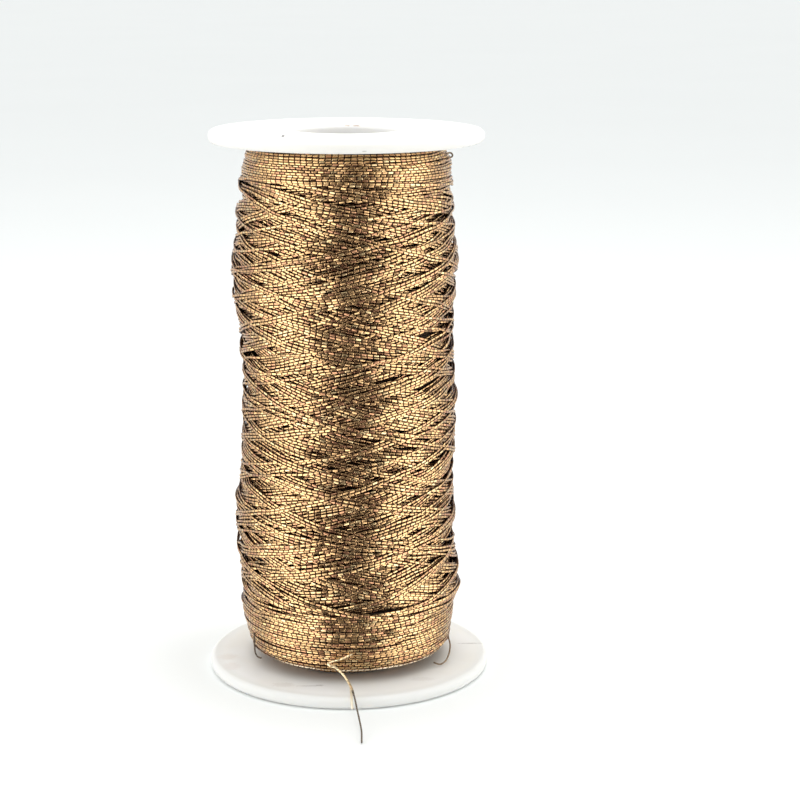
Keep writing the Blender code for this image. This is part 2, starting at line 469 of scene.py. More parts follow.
# ----------------------------------------------------------- winding geometry
# Strands are laid one after another on a height map of the package. A strand
# rests on what is under it, bridges the hollows as a taut thread does, slides
# a little way into the groove between two others, and raises the map.
NT = 1440  # cells round
CELL_Z = 0.08  # mm
RADIUS = 17.3  # mean radius, for lengths round the package
STEP = 2  # map cells round, per sample of a strand
SAMPLES = NT // STEP  # samples in a turn
DS = TWO_PI * RADIUS / SAMPLES
NZ = int((PACKAGE_TOP - PACKAGE_BOTTOM) / CELL_Z) + 1
HALF_H = STRAND_FLAT / 2
OFFSETS = np.arange(-2, 3)
SECTION = HALF_H * np.sqrt(1 - (OFFSETS * CELL_Z / (STRAND / 2)) ** 2 * 0.98)
Z_LOW, Z_HIGH = PACKAGE_BOTTOM + 0.12, PACKAGE_TOP - 0.12


PRESS = 0.22  # how far a strand sinks into one that it crosses


def smooth(values, half):
    """A running mean with a soft window of half samples either side."""
    window = np.hanning(2 * half + 3)[1:-1]
    return np.convolve(np.pad(values, half, "edge"), window / window.sum(), "valid")


def ease_in(z, limit):
    """z, held softly under limit."""
    return limit - 0.5 * np.logaddexp(0.0, (limit - z) / 0.5)


class Winding:
    """One thread, laid from its inner end to its outer end."""

    def __init__(self):
        self.map = np.zeros((NT, NZ), np.float32)
        self.settled = np.zeros(NZ)  # how far the layers have packed down, by height
        self.parts = []
        self.sag = (np.arange(-32, 33) * DS) ** 2 / (2 * RADIUS)
        self.half = len(self.sag) // 2
        self.now, self.height = 0, Z_LOW
        self.back = np.zeros(0)
        self.shift_guess = self.rest_guess = None

    def support(self, cell, z):
        """Where the strand's axis would rest at these places."""
        iz = np.clip(np.rint((z - PACKAGE_BOTTOM) / CELL_Z).astype(int), 2, NZ - 3)
        best = np.full(len(z), -90.0, np.float32)
        for o, sq in zip(OFFSETS, SECTION):
            best = np.maximum(best, self.map[cell % NT, iz + o] + sq)
        return best

    def lay(self, turn, z, slide=0.16):
        """turn, z: the thread's path onward, one sample per DS, turn counted in samples (whole numbers)."""
        count, half = len(turn), self.half
        cells = (turn * STEP) % NT
        rest = np.zeros(count)
        path = np.array(z, float)
        chunk = SAMPLES // 2
        for start in range(0, count, chunk):
            end = min(count, start + chunk)
            far = min(count, end + half)
            here = np.arange(start, far)
            fade = np.clip(np.arange(len(here)) / half, 0, 1)
            shifts = np.array([-2, -1, 0, 1, 2]) * slide / 2
            cost = []
            for s in shifts:
                c = self.support(cells[here], np.clip(path[here] + s, Z_LOW, Z_HIGH))
                cost.append(smooth(c + abs(s) * 0.25, 6))
            pick = smooth(shifts[np.argmin(np.array(cost), axis=0)], 15)
            if self.shift_guess is not None:
                known = np.pad(self.shift_guess, (0, len(here)), "edge")[: len(here)]
                pick = known * (1 - fade) + pick * fade
            self.shift_guess = pick[end - start :] if far > end else pick[-1:]
            ahead = np.clip(path[here] + pick, Z_LOW, Z_HIGH)
            path[start:end] = ahead[: end - start]
            held = self.support(cells[here], ahead)
            back = self.back
            line = np.concatenate([back, held])
            # pressed a little way into what it crosses, and taut between the high places
            pressed = np.concatenate([back, held - PRESS])
            padded = np.pad(pressed, half, constant_values=-90)
            taut = np.full(len(line), -90.0)
            for k, sag in enumerate(self.sag):
                taut = np.maximum(taut, padded[k : k + len(line)] - sag)
            usual = smooth(line, 28)
            soft = usual + 0.40 * (smooth(line, 4) - usual)
            got = smooth(np.maximum(taut, soft), 4)[len(back) :]
            if self.rest_guess is not None:
                known = np.pad(self.rest_guess, (0, len(here)), "edge")[: len(here)]
                got = known * (1 - fade) + got * fade
            self.rest_guess = got[end - start :] if far > end else got[-1:]
            got = got[: end - start]
            rest[start:end] = got
            self.back = np.concatenate([self.back, got])[-half:]
            # raise the map along this stretch
            fine = np.arange((end - start) * STEP)
            zf = np.interp(fine / STEP, np.arange(end - start), path[start:end])
            cf = np.interp(fine / STEP, np.arange(end - start), got)
            cell = (cells[start] + fine) % NT
            iz = np.clip(np.rint((zf - PACKAGE_BOTTOM) / CELL_Z).astype(int), 2, NZ - 3)
            for o, sq in zip(OFFSETS, SECTION):
                np.maximum.at(self.map, (cell, iz + o), (cf + sq).astype(np.float32))
        self.parts.append((turn, path, rest + self.sunk(path)))
        self.now, self.height = int(turn[-1]) + 1, float(path[-1])

    def sunk(self, z):
        return np.interp(z, PACKAGE_BOTTOM + np.arange(NZ) * CELL_Z, self.settled)

    def settle(self):
        """The ends, which carry more turns, pack down to the thickness of the middle."""
        usual = smooth(self.map.mean(axis=0), 16)
        usual -= usual.mean()
        self.map -= usual.astype(np.float32)
        self.settled += usual
        here = usual[int(np.clip((self.height - PACKAGE_BOTTOM) / CELL_Z, 0, NZ - 1))]
        self.back = self.back - here
        if self.rest_guess is not None:
            self.rest_guess = self.rest_guess - here

    def reach(self, phase, z):
        """On round the package to this phase and height."""
        count = int(round(phase - self.now)) % SAMPLES
        if count < 150:
            count += SAMPLES
        t = np.arange(count) / count
        t = t * t * (3 - 2 * t)
        self.lay(self.now + np.arange(count), self.height + (z - self.height) * t)

    def path(self, first, low, high, turns, wander, passes, top):
        """Passes up and down at an even pitch, rounded where they turn back."""
        n = turns * SAMPLES
        turn = first + np.arange(int(passes * n))
        t = np.arange(len(turn)) / n + (1 if top else 0)  # even at the bottom, odd at the top
        k = 0.992
        z = low + (high - low) * (
            0.5 + 0.5 * np.arcsin(k * np.sin(math.pi * (t - 0.5))) / math.asin(k)
        )
        size, shift, rise = wander
        az = turn / SAMPLES * TWO_PI
        z = z + size * np.sin(az + shift + z * rise) * np.abs(np.sin(math.pi * t))
        return turn, z, t

    def excess(self, turn, z, usual):
        """How much higher than usual for its height the package is under this path."""
        t, zz = turn[::9], np.clip(z[::9], Z_LOW, Z_HIGH)
        held = self.support((t * STEP) % NT, zz) - usual[
            np.clip(((zz - PACKAGE_BOTTOM) / CELL_Z).astype(int), 0, NZ - 1)
        ]
        return held.mean() + 0.6 * held.std()

    def band(self, passes, tries=40, low=None, high=None, steep=0.35):
        """Neighbouring passes side by side, put where the package is thinnest."""
        top = self.height > (PACKAGE_BOTTOM + PACKAGE_TOP) / 2
        usual = smooth(self.map.mean(axis=0), 12)
        best = None
        for _ in range(tries):
            lo = Z_LOW + abs(rng.normal(0, 3.2)) if low is None else low + rng.normal(0, 1.2)
            hi = Z_HIGH - abs(rng.normal(0, 3.2)) if high is None else high + rng.normal(0, 1.2)
            loops = int(rng.choice([4, 5, 6] if rng.random() < steep else [7, 8, 9, 10, 11, 13]))
            slope = (hi - lo) * 2 / loops
            side = STRAND * 1.04 * math.hypot(1.0, slope / (TWO_PI * RADIUS)) / slope
            turns = (loops + side * rng.choice([-1, 1])) / 2
            phase = rng.integers(0, SAMPLES)
            wander = (rng.uniform(0.1, 0.7), rng.uniform(0, 6.28), rng.uniform(-0.12, 0.12))
            turn, z, _ = self.path(phase, lo, hi, turns, wander, 2, top)
            cost = self.excess(turn, z, usual)
            if best is None or cost < best[0]:
                best = (cost, phase, lo, hi, turns, wander)
        _, phase, lo, hi, turns, wander = best
        first = self.now + (int(phase) - self.now) % SAMPLES
        if first - self.now < 150:
            first += SAMPLES
        turn, z, t = self.path(first, lo, hi, turns, wander, passes, top)
        # each turn back comes at its own height, short of the band's
        back_low = lo + abs(rng.normal(0, 1.3, passes + 2))
        back_high = hi - abs(rng.normal(0, 1.3, passes + 2))
        z = ease_in(z, back_high[(t // 2).astype(int)])
        z = -ease_in(-z, -back_low[((t + 1) // 2).astype(int)])
        z = z + 0.05 * np.sin(turn / SAMPLES * rng.uniform(2.0, 5.0) + rng.uniform(0, 6.28))
        z = np.clip(z, Z_LOW, Z_HIGH)
        self.reach(first, z[0])
        self.lay(turn, z)
        self.settle()

    def rows(self, start, end, pitch):
        """Turns laid side by side from one height to another."""
        self.reach(self.now + rng.integers(200, 500), start)
        n = int(abs(end - start) / pitch * SAMPLES)
        turn = self.now + np.arange(n)
        t = np.arange(n) / SAMPLES
        z = start + np.sign(end - start) * pitch * t
        inside = np.clip(np.minimum(z - PACKAGE_BOTTOM, PACKAGE_TOP - z) / 5, 0.05, 1)
        tilt = rng.uniform(0.3, 0.6) * np.clip(t, 0, 1)
        z = z + 0.06 * np.sin(t * 2.1 + turn[0]) + tilt * inside * np.sin(t * TWO_PI)
        self.lay(turn, np.clip(z, Z_LOW, Z_HIGH))
        self.settle()


def wind():
    w = Winding()
    w.lay(np.arange(300), np.full(300, Z_LOW + 0.4))
    for _ in range(8):
        w.band(2 * int(rng.integers(2, 6)))
    w.rows(12.0, 2.45, 0.36)
    w.band(2 * 3 + 1)
    w.rows(85.55, 78.0, 0.42)
    for _ in range(10):
        w.band(2 * int(rng.integers(2, 7)))
    w.rows(85.5, 78.5, 0.42)
    w.band(2 * 3 + 1)
    w.rows(9.5, 2.45, 0.30)
    for _ in range(9):
        w.band(2 * int(rng.integers(2, 7)))
    w.band(2 * 2 + 1)
    w.rows(85.55, 79.0, 0.44)
    w.band(2 * 1 + 1)
    w.rows(6.5, 2.45, 0.22)
    w.rows(2.5, 9.0, 0.36)
    # the last passes stop short of the ends
    for low, high, count in LAST_BANDS:
        w.band(2 * count, low=low, high=high, steep=0.5)
    # both ends finish with neat turns side by side
    w.band(1, low=7, high=85)
    w.rows(85.55, 80.5, 0.41)
    w.band(2, low=9, high=78, steep=0.0)
    w.band(1, low=7, high=80, steep=0.0)
    w.rows(2.45, 4.0, 0.30)
    w.rows(4.0, 13.5, 0.42)
    w.band(4, low=10.5, high=81, steep=1.0)
    w.rows(11.0, 8.6, 0.445)
    # the thread's outer end comes round the foot to the front
    start = TAIL_WOUND[0]
    w.reach(SAMPLES * (1 - start[0] / 360), start[1])
    count = int(SAMPLES * (start[0] - TAIL_WOUND[-1][0]) / 360)
    degrees = start[0] - np.arange(count) / SAMPLES * 360
    along = np.array(TAIL_WOUND)[::-1]
    w.lay(w.now + np.arange(count), monotone(degrees, along[:, 0], along[:, 1]), slide=0.0)
    return w


LAST_BANDS = (
    (7, 81, 4), (6, 83, 3), (9, 79, 5), (5, 82, 2), (8, 80, 4), (10, 77, 3), (6, 81, 4),
    (9, 80, 4), (7, 82, 3), (11, 78, 2), (8, 81, 3), (9, 79, 1), (9, 82, 3), (11, 80, 1),
)
TAIL_WOUND = (  # the last wound stretch: degrees right of the front, height
    (27.0, 8.1), (18.0, 8.0), (9.0, 7.8), (0.0, 6.9), (-2.0, 6.5), (-4.5, 6.15), (-7.0, 5.9),
)


def surface_level(w):
    """The height that counts as the package's surface, at each cell: the laid strands' own, smoothed over several mm."""
    top = w.map + 0.10
    across = np.fft.fftfreq(NT, TWO_PI * RADIUS / NT)
    top = np.fft.ifft(
        np.fft.fft(top, axis=0) * np.exp(-2 * (math.pi * across * 3.0) ** 2)[:, None], axis=0
    ).real
    pad = 120
    wide = np.pad(top, ((0, 0), (pad, pad)), "reflect")
    along = np.fft.fftfreq(wide.shape[1], CELL_Z)
    wide = np.fft.ifft(
        np.fft.fft(wide, axis=1) * np.exp(-2 * (math.pi * along * 1.5) ** 2)[None, :], axis=1
    ).real
    return wide[:, pad:-pad]


def at_level(level, azimuth, z):
    """The surface level at any place, between the map's cells."""
    a = (np.asarray(azimuth) / TWO_PI * NT) % NT
    b = np.clip((np.asarray(z) - PACKAGE_BOTTOM) / CELL_Z, 0, NZ - 1.001)
    i, j = a.astype(int), b.astype(int)
    fa, fb = a - i, b - j
    i0, i1 = i % NT, (i + 1) % NT
    return (
        level[i0, j] * (1 - fa) * (1 - fb)
        + level[i1, j] * fa * (1 - fb)
        + level[i0, j + 1] * (1 - fa) * fb
        + level[i1, j + 1] * fa * fb
    )


# The strand's section, (across, outward) in half widths and half thicknesses,
# from its underside round: a flat foil, wrapped and pressed.
FOIL_SECTION = np.array(
    [(0.56, -1.0), (1.0, -0.50), (1.0, 0.42), (0.60, 1.0), (-0.60, 1.0), (-1.0, 0.42), (-1.0, -0.50), (-0.56, -1.0)]
)


def round_section(sides):
    a = (np.arange(sides) + 0.5) / sides * TWO_PI - math.pi / 2
    return np.stack([np.cos(a), np.sin(a)], 1)


def tube_rings(centre, across, outward, half_w, half_h, section):
    """Rings of points round a line. across and outward are unit vectors at each point."""
    return (
        centre[:, None, :]
        + across[:, None, :] * (section[:, 0] * half_w)[None, :, None]
        + outward[:, None, :] * (section[:, 1] * half_h)[None, :, None]
    )


def line_frame(centre, outward_hint):
    tangent = np.gradient(centre, axis=0)
    tangent /= np.linalg.norm(tangent, axis=1)[:, None]
    outward = outward_hint - (outward_hint * tangent).sum(1)[:, None] * tangent
    outward /= np.linalg.norm(outward, axis=1)[:, None]
    across = np.cross(outward, tangent)
    return tangent, across, outward


def tube_quads(count, sides, first):
    """Quads of one tube whose rings start at vertex `first`, facing out."""
    i = np.arange(count - 1)[:, None]
    k = np.arange(sides)[None, :]
    k2 = (k + 1) % sides
    a = first + i * sides + k
    b = first + i * sides + k2
    c = first + (i + 1) * sides + k2
    d = first + (i + 1) * sides + k
    return np.stack([a, b, c, d], -1).reshape(-1, 4)


def strands_mesh(name, lines, half_w, half_h, section, rows):
    """One mesh of many tubes. lines: [(centre (n, 3) in m, outward (n, 3), segment offset)]."""
    sides = len(section)
    verts, quads, thread_uv, caps, first = [], [], [], [], 0
    total = sum(len(c) - 1 for c, _, _ in lines)
    per_row = math.ceil(total / rows)
    bake_uv, at = [], 0
    for centre, hint, offset in lines:
        _, across, outward = line_frame(centre, hint)
        rings = tube_rings(centre, across, outward, half_w, half_h, section)
        n = len(centre)
        verts.append(rings.reshape(-1, 3))
        quads.append(tube_quads(n, sides, first))
        caps.append(np.arange(sides)[::-1] + first)
        caps.append(np.arange(sides) + first + (n - 1) * sides)
        length = np.concatenate(
            [[0], np.cumsum(np.linalg.norm(np.diff(centre, axis=0), axis=1))]
        )
        u = length / (BRICK * MM) + offset
        k = (np.arange(sides) + 0.5) / sides
        k1 = k + 1 / sides
        u0 = np.repeat(u[:-1], sides)
        u1 = np.repeat(u[1:], sides)
        v0 = np.tile(k, n - 1)
        v1 = np.tile(k1, n - 1)
        thread_uv.append(
            np.stack(
                [
                    np.stack([u0, v0], -1),
                    np.stack([u0, v1], -1),
                    np.stack([u1, v1], -1),
                    np.stack([u1, v0], -1),
                ],
                1,
            )
        )
        # the same tube laid out in rows across the bake's square
        j = np.repeat(np.arange(at, at + n - 1), sides)
        row, col = j // per_row, j % per_row
        b0, b1 = col / per_row, (col + 1) / per_row
        edge = 0.07
        c0 = (row + edge + (1 - 2 * edge) * (v0 - 0.5 / sides)) / rows
        c1 = (row + edge + (1 - 2 * edge) * (v1 - 0.5 / sides)) / rows
        bake_uv.append(
            np.stack(
                [
                    np.stack([b0, c0], -1),
                    np.stack([b0, c1], -1),
                    np.stack([b1, c1], -1),
                    np.stack([b1, c0], -1),
                ],
                1,
            )
        )
        at += n - 1
        first += n * sides
    return fast_mesh(
        name,
        np.vstack(verts),
        np.vstack(quads),
        {"Thread": np.concatenate(thread_uv), "OFBake": np.concatenate(bake_uv)},
        caps,
    )


def build_winding(gold):
    w = wind()
    level = surface_level(w)

    def place(azimuth, z, rest):
        """Radius in mm. The map runs the other way round: the thread winds clockwise, seen from above."""
        over = rest - at_level(level, -azimuth, z)
        over = np.where(over > 0, over * 0.66, over * 0.88)
        # the neat end turns lie flat
        over = over * (1 - 0.50 * np.clip((13.0 - z) / 4.0, 0, 1) - 0.30 * np.clip((z - 79.0) / 2.0, 0, 1))
        return package_radius(z, azimuth) + over

    turn, z, rest = (np.concatenate([p[k] for p in w.parts]) for k in range(3))
    rest = rest - w.sunk(z)
    # the innermost part, which the rest hides, is left to the core
    cell = ((turn * STEP) % NT, ((z - PACKAGE_BOTTOM) / CELL_Z).astype(int))
    buried = w.map[cell] - rest - HALF_H > 0.75
    seen = np.array([1 - buried[k : k + 20 * SAMPLES].mean() for k in range(0, len(turn), 20 * SAMPLES)])
    first = int(np.argmax(seen > 0.06)) * 20 * SAMPLES
    tail_count = len(w.parts[-1][0])
    every = SAMPLES // 120
    pick = np.append(np.arange(first, len(turn) - tail_count, every), len(turn) - tail_count)
    az = -turn[pick] / SAMPLES * TWO_PI
    r = place(az, z[pick], rest[pick]) * MM
    centre = np.stack([r * np.sin(az), -r * np.cos(az), z[pick] * MM], 1)
    slope = (package_radius(z[pick] + 0.3, az) - package_radius(z[pick] - 0.3, az)) / 0.6
    slope = np.where((z[pick] < 9) | (z[pick] > 83), slope, 0)
    hint = np.stack([np.sin(az), -np.cos(az), -slope], 1)
    sides = len(FOIL_SECTION)
    most = 190_000 // (2 * sides)
    count = math.ceil(len(centre) / most)
    cuts = np.linspace(0, len(centre) - 1, count + 1).astype(int)
    for k, (i, j) in enumerate(zip(cuts[:-1], cuts[1:])):
        name = f"wound_thread_{k + 1}"
        line = (centre[i : j + 1], hint[i : j + 1], float(rng.integers(0, 4000)))
        mesh = strands_mesh(name, [line], STRAND / 2 * MM, STRAND_FLAT / 2 * MM, FOIL_SECTION, 96)
        mesh.materials.append(gold)
        obj = new_object(name, mesh)
    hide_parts("thread_winding")
    pick = np.arange(len(turn) - tail_count, len(turn), 6)
    az = -turn[pick] / SAMPLES * TWO_PI
    # it comes out from under its neighbours at the front
    under = np.clip((np.degrees((az + math.pi) % TWO_PI - math.pi) - 0.5) / 2.5, 0, 1)
    r = place(az, z[pick], rest[pick]) - 0.42 * under
    last = np.stack([r * np.sin(az), -r * np.cos(az), z[pick]], 1)

    # the inner layers: a ring under the laid strands, painted dark as painted shade
    steps = 120
    zc = np.linspace(PACKAGE_BOTTOM, PACKAGE_TOP, steps)
    around = 160
    az = np.arange(around) / around * TWO_PI
    aa, zz = np.broadcast_arrays(az[None, :], zc[:, None])
    ring_r = place(aa, zz, np.maximum(0.02, at_level(level, -aa, zz) - 1.35))
    inner_r = BARREL_OUTER + 0.15
    grid = [np.stack([np.full(around, inner_r), np.full(around, PACKAGE_BOTTOM)], -1)]
    grid += [np.stack([ring_r[i], np.full(around, zc[i])], -1) for i in range(steps)]
    grid += [np.stack([np.full(around, inner_r), np.full(around, PACKAGE_TOP)], -1)]
    grid = np.array(grid)
    verts = np.stack(
        [grid[..., 0] * np.sin(az), -grid[..., 0] * np.cos(az), grid[..., 1]], -1
    ) * MM
    rings = len(grid)
    i = np.arange(rings)[:, None]
    j = np.arange(around)[None, :]
    quads = np.stack(
        [
            i * around + j,
            i * around + (j + 1) % around,
            ((i + 1) % rings) * around + (j + 1) % around,
            ((i + 1) % rings) * around + j,
        ],
        -1,
    ).reshape(-1, 4)
    mesh = fast_mesh("inner_layers", verts.reshape(-1, 3), quads)
    mesh.materials.append(painted_shade_core_material())
    core = new_object("inner_layers", mesh)
    return last


# ----------------------------------------------------------------- mouldings
def rounded(corners, steps):
    """The outline (radius, height) with each corner (radius, height, rounding) replaced by an arc."""
    points = []
    for i, (r, z, rounding) in enumerate(corners):
        here = np.array((r, z), float)
        if not rounding:
            points.append(here)
            continue
        before = np.array(corners[i - 1][:2], float) - here
        after = np.array(corners[(i + 1) % len(corners)][:2], float) - here
        before /= np.linalg.norm(before)
        after /= np.linalg.norm(after)
        half = math.acos(np.clip(before @ after, -1, 1)) / 2
        mid = (before + after) / np.linalg.norm(before + after)
        centre = here + mid * rounding / math.sin(half)
        a = here + before * rounding / math.tan(half) - centre
        b = here + after * rounding / math.tan(half) - centre
        t0, t1 = math.atan2(a[1], a[0]), math.atan2(b[1], b[0])
        d = (t1 - t0 + math.pi) % TWO_PI - math.pi
        for k in range(steps + 1):
            t = t0 + d * k / steps
            points.append(centre + rounding * np.array((math.cos(t), math.sin(t))))
    return np.array(points)


def turned_mesh(name, outline, around, flip=False, shape=None):
    """A ring-shaped solid of revolution. outline (n, 2) radius, height in mm, in order so that faces look out."""
    az = np.arange(around) / around * TWO_PI
    n = len(outline)
    r = np.repeat(outline[:, :1], around, 1)
    z = np.repeat(outline[:, 1:], around, 1)
    if shape is not None:
        r, z = shape(r, z, az[None, :])
    verts = np.stack([r * np.sin(az), -r * np.cos(az), z], -1) * MM
    i = np.arange(n)[:, None]
    j = np.arange(around)[None, :]
    quads = np.stack(
        [
            i * around + j,
            i * around + (j + 1) % around,
            ((i + 1) % n) * around + (j + 1) % around,
            ((i + 1) % n) * around + j,
        ],
        -1,
    ).reshape(-1, 4)
    if flip:
        quads = quads[:, ::-1]
    return fast_mesh(name, verts.reshape(-1, 3), quads)


def flange(name, node, top, material):
    """The finished moulding: rounded rim and mouth, rings across the faces so that it shades evenly, a hub with a lead-in."""
    radius = UPPER_FLANGE_RADIUS if top else LOWER_FLANGE_RADIUS
    outline = rounded(
        [
            (BORE_RADIUS, 0.0, MOUTH_ROUND),
            (radius, 0.0, RIM_ROUND),
            (radius, FLANGE_THICKNESS, RIM_ROUND),
            (HUB_RADIUS, FLANGE_THICKNESS, 0.25),
            (HUB_RADIUS, FLANGE_THICKNESS + HUB_LENGTH, 0.45),
            (BORE_RADIUS, FLANGE_THICKNESS + HUB_LENGTH, 0.2),
        ],
        8,
    )
    dense = [outline[0]]
    for a, b in zip(outline, np.roll(outline, -1, axis=0)):
        gap = np.linalg.norm(b - a)
        cuts = max(1, int(gap / 1.2))
        for k in range(1, cuts + 1):
            dense.append(a + (b - a) * k / cuts)
    dense = np.array(dense[:-1])
    if top:
        dense[:, 1] = HEIGHT - dense[:, 1]
    mesh = turned_mesh(name, dense, 192, flip=top)
    mesh.materials.append(material)
    obj = new_object(name, mesh)
    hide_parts(node)
    return obj


# ----------------------------------------------------------------- loose ends
TAIL_FREE = (
    (-3.0, -17.2, 5.95),
    (-3.4, -17.6, 5.8),
    (-3.0, -17.95, 5.55),
    (-2.2, -18.15, 5.35),
    (-1.5, -18.5, 4.85),
    (-0.95, -18.95, 4.4),
    (-0.45, -19.6, 3.9),
    (-0.05, -20.5, 3.5),
    (0.3, -21.6, 3.2),
    (0.55, -22.8, 2.9),
    (0.85, -24.4, 2.25),
    (1.15, -27.0, 1.65),
    (1.5, -30.0, 1.05),
    (1.75, -33.0, 0.65),
    (1.75, -36.6, 0.3),
)


BARE_FROM = -22.3  # the foil has come off the loose end beyond this y, mm


def loose_material(name, seam, bare_to_x=None, pale=(0.92, 0.74, 0.46)):
    """Thread that stands free: pale foil with seams, and the bare core yarn where the foil has come off."""
    n = Nodes(name)
    uv = n.add("ShaderNodeUVMap", uv_map="Thread").outputs["UV"]
    split = n.add("ShaderNodeSeparateXYZ")
    n.link(uv, split.inputs[0])
    u, v = split.outputs[0], split.outputs[1]
    part = n.math("FRACT", n.math("ADD", u, n.math("MULTIPLY", v, 1.0)))
    edge = n.math("MINIMUM", part, n.math("SUBTRACT", 1.0, part))
    foil = n.mix(
        n.ramp(edge, 0.03 + 0.04 * seam, 0.09 + 0.05 * seam, seam, 0.0),
        pale,
        (0.20 - 0.14 * seam, 0.11 - 0.08 * seam, 0.05 - 0.03 * seam),
    )
    ply = n.math(
        "SINE", n.math("ADD", n.math("MULTIPLY", u, 9.0), n.math("MULTIPLY", v, 2 * TWO_PI))
    )
    yarn = n.mix(n.ramp(ply, -0.6, 0.8), (0.070, 0.050, 0.036), (0.20, 0.155, 0.11))
    spot = n.add("ShaderNodeSeparateXYZ")
    n.link(n.add("ShaderNodeNewGeometry").outputs["Position"], spot.inputs[0])
    if bare_to_x is None:
        bare = n.ramp(spot.outputs[1], (BARE_FROM + 0.4) * MM, (BARE_FROM - 0.4) * MM)
    else:
        bare = n.ramp(spot.outputs[0], (bare_to_x - 0.5) * MM, (bare_to_x + 0.5) * MM, 1.0, 0.0)
    n.link(n.mix(bare, foil, yarn), n.shader.inputs["Base Color"])
    n.link(n.ramp(bare, 0.0, 1.0, 0.85, 0.10, smooth=False), n.shader.inputs["Metallic"])
    n.link(n.ramp(bare, 0.0, 1.0, 0.34, 0.62, smooth=False), n.shader.inputs["Roughness"])
    n.link(n.bump(ply, 0.00003, 0.6), n.shader.inputs["Normal"])
    return n.material


def tail(material, last):
    """The thread's outer end: its last wound stretch, then the free part down over the foot and the flange."""
    route = [tuple(p) for p in last] + list(TAIL_FREE)
    line = catmull(route, 220) * MM
    hint = line * [1, 1, 0] + [0, 0, 0.004]
    section = round_section(10)
    mesh = strands_mesh("loose_thread_end", [(line, hint, 7.3)], TAIL_D / 2 * MM, TAIL_D / 2 * MM, section, 6)
    # thinner where the foil has come off
    places = np.empty(len(mesh.vertices) * 3, np.float32)
    mesh.vertices.foreach_get("co", places)
    places = places.reshape(len(line), len(section), 3)
    t = np.clip((BARE_FROM * MM - line[:, 1]) / (1.2 * MM), 0, 1)[:, None, None]
    places = line[:, None] + (places - line[:, None]) * (1 - 0.30 * t)
    mesh.vertices.foreach_set("co", places.astype(np.float32).ravel())
    mesh.materials.append(material)
    obj = new_object("loose_thread_end", mesh)
    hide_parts("thread_tail")
    return obj


SLACK = {  # short slack loops that stand off the package, mm
    "slack_loops_low": (
        [
            (15.45, -1.5, 6.6), (16.05, -2.2, 5.95), (16.28, -4.0, 5.13), (16.46, -5.6, 4.45),
            (16.15, -7.2, 3.44), (15.45, -8.5, 2.66), (14.60, -9.0, 2.42), (13.6, -9.0, 2.75),
        ],
        [
            (-15.27, -6.20, 7.55),
            (-15.36, -7.20, 7.13),
            (-15.36, -7.90, 6.44),
            (-15.30, -8.50, 5.55),
            (-15.17, -9.00, 4.70),
            (-14.80, -9.30, 4.11),
            (-14.17, -9.50, 3.91),
        ],
    ),
    "slack_loop_high": (
        [
            (15.1, -3.6, 84.15), (15.72, -3.2, 84.36), (16.17, -3.0, 84.43), (16.46, -3.0, 84.25),
            (16.54, -3.0, 84.0), (16.4, -3.0, 83.78), (16.12, -3.05, 83.71), (15.7, -3.3, 83.8),
            (15.1, -3.7, 84.0),
        ],
    ),
}


FOIL_SHRED = (
    (0.16, -21.10, 3.28),
    (0.21, -22.00, 2.96),
    (0.26, -22.90, 2.58),
    (0.30, -23.50, 1.99),
    (0.35, -23.90, 1.32),
    (0.44, -24.10, 0.74),
)


def shred_material():
    n = Nodes("loose_foil")
    pos = n.add("ShaderNodeNewGeometry").outputs["Position"]
    n.link(
        n.mix(n.noise(pos, 1400.0, 2.0), (0.86, 0.80, 0.66), (0.62, 0.50, 0.34)),
        n.shader.inputs["Base Color"],
    )
    n.shader.inputs["Metallic"].default_value = 0.55
    n.shader.inputs["Roughness"].default_value = 0.45
    return n.material


def slack(material):
    """Short slack loops, one looser turn along the foot's lower edge, and a shred of foil that has come off the end."""
    t = np.linspace(-1.0, 1.0, 260)
    az = math.radians(2.0) + t * math.radians(118.0)
    out = 0.34 - 2.2 * np.clip((np.abs(t) - 0.72) / 0.28, 0, 1) ** 2
    z = 3.88 + 0.07 * np.sin(3.1 * az + 0.4) + 0.05 * np.sin(8.3 * az)
    r = package_radius(z, az) + out
    edge = np.stack([r * np.sin(az), -r * np.cos(az), z], 1) * MM
    mesh = strands_mesh(
        "looser_turn", [(edge, edge * [1, 1, 0] + [0, 0, -0.004], 3.4)], 0.17 * MM, 0.15 * MM, round_section(8), 6
    )
    # its foil is paler than the wound foil: a painted highlight for the bright reflection along the foot's lower edge
    mesh.materials.append(loose_material("looser_thread_painted_highlight", 0.95, pale=(0.95, 0.80, 0.58)))
    new_object("looser_turn", mesh)
    shred = catmull(FOIL_SHRED, 40) * MM
    mesh = strands_mesh(
        "foil_shred", [(shred, np.tile([-0.35, -0.5, 0.8], (40, 1)), 9.1)], 0.21 * MM, 0.035 * MM, FOIL_SECTION, 3
    )
    mesh.materials.append(shred_material())
    new_object("foil_shred", mesh)
    section = round_section(8)
    for name, loops in SLACK.items():
        lines = []
        for k, points in enumerate(loops):
            line = catmull(points, 48) * MM
            lines.append((line, line * [1, 1, 0] + [0, 0, 0.003], 40.0 + 17 * k))
        mesh = strands_mesh(name, lines, 0.13 * MM, 0.13 * MM, section, 4)
        mesh.materials.append(material)
        new_object(name, mesh)


# ----------------------------------------------------------------- the studio
def area(name, location, target, size, power, colour=(1, 1, 1), shape="RECTANGLE"):
    data = bpy.data.lights.new(name, "AREA")
    data.shape = shape
    data.size, data.size_y = size
    data.energy = power
    data.color = colour
    obj = bpy.data.objects.new(name, data)
    bpy.context.scene.collection.objects.link(obj)
    obj.location = location
    obj.rotation_euler = (
        (Vector(target) - Vector(location)).to_track_quat("-Z", "Y").to_euler()
    )
    return obj


def polar(azimuth, distance, height):
    """A place seen from the object: azimuth 0 is the front, 90 the right."""
    a = math.radians(azimuth)
    return (distance * math.sin(a), -distance * math.cos(a), height)


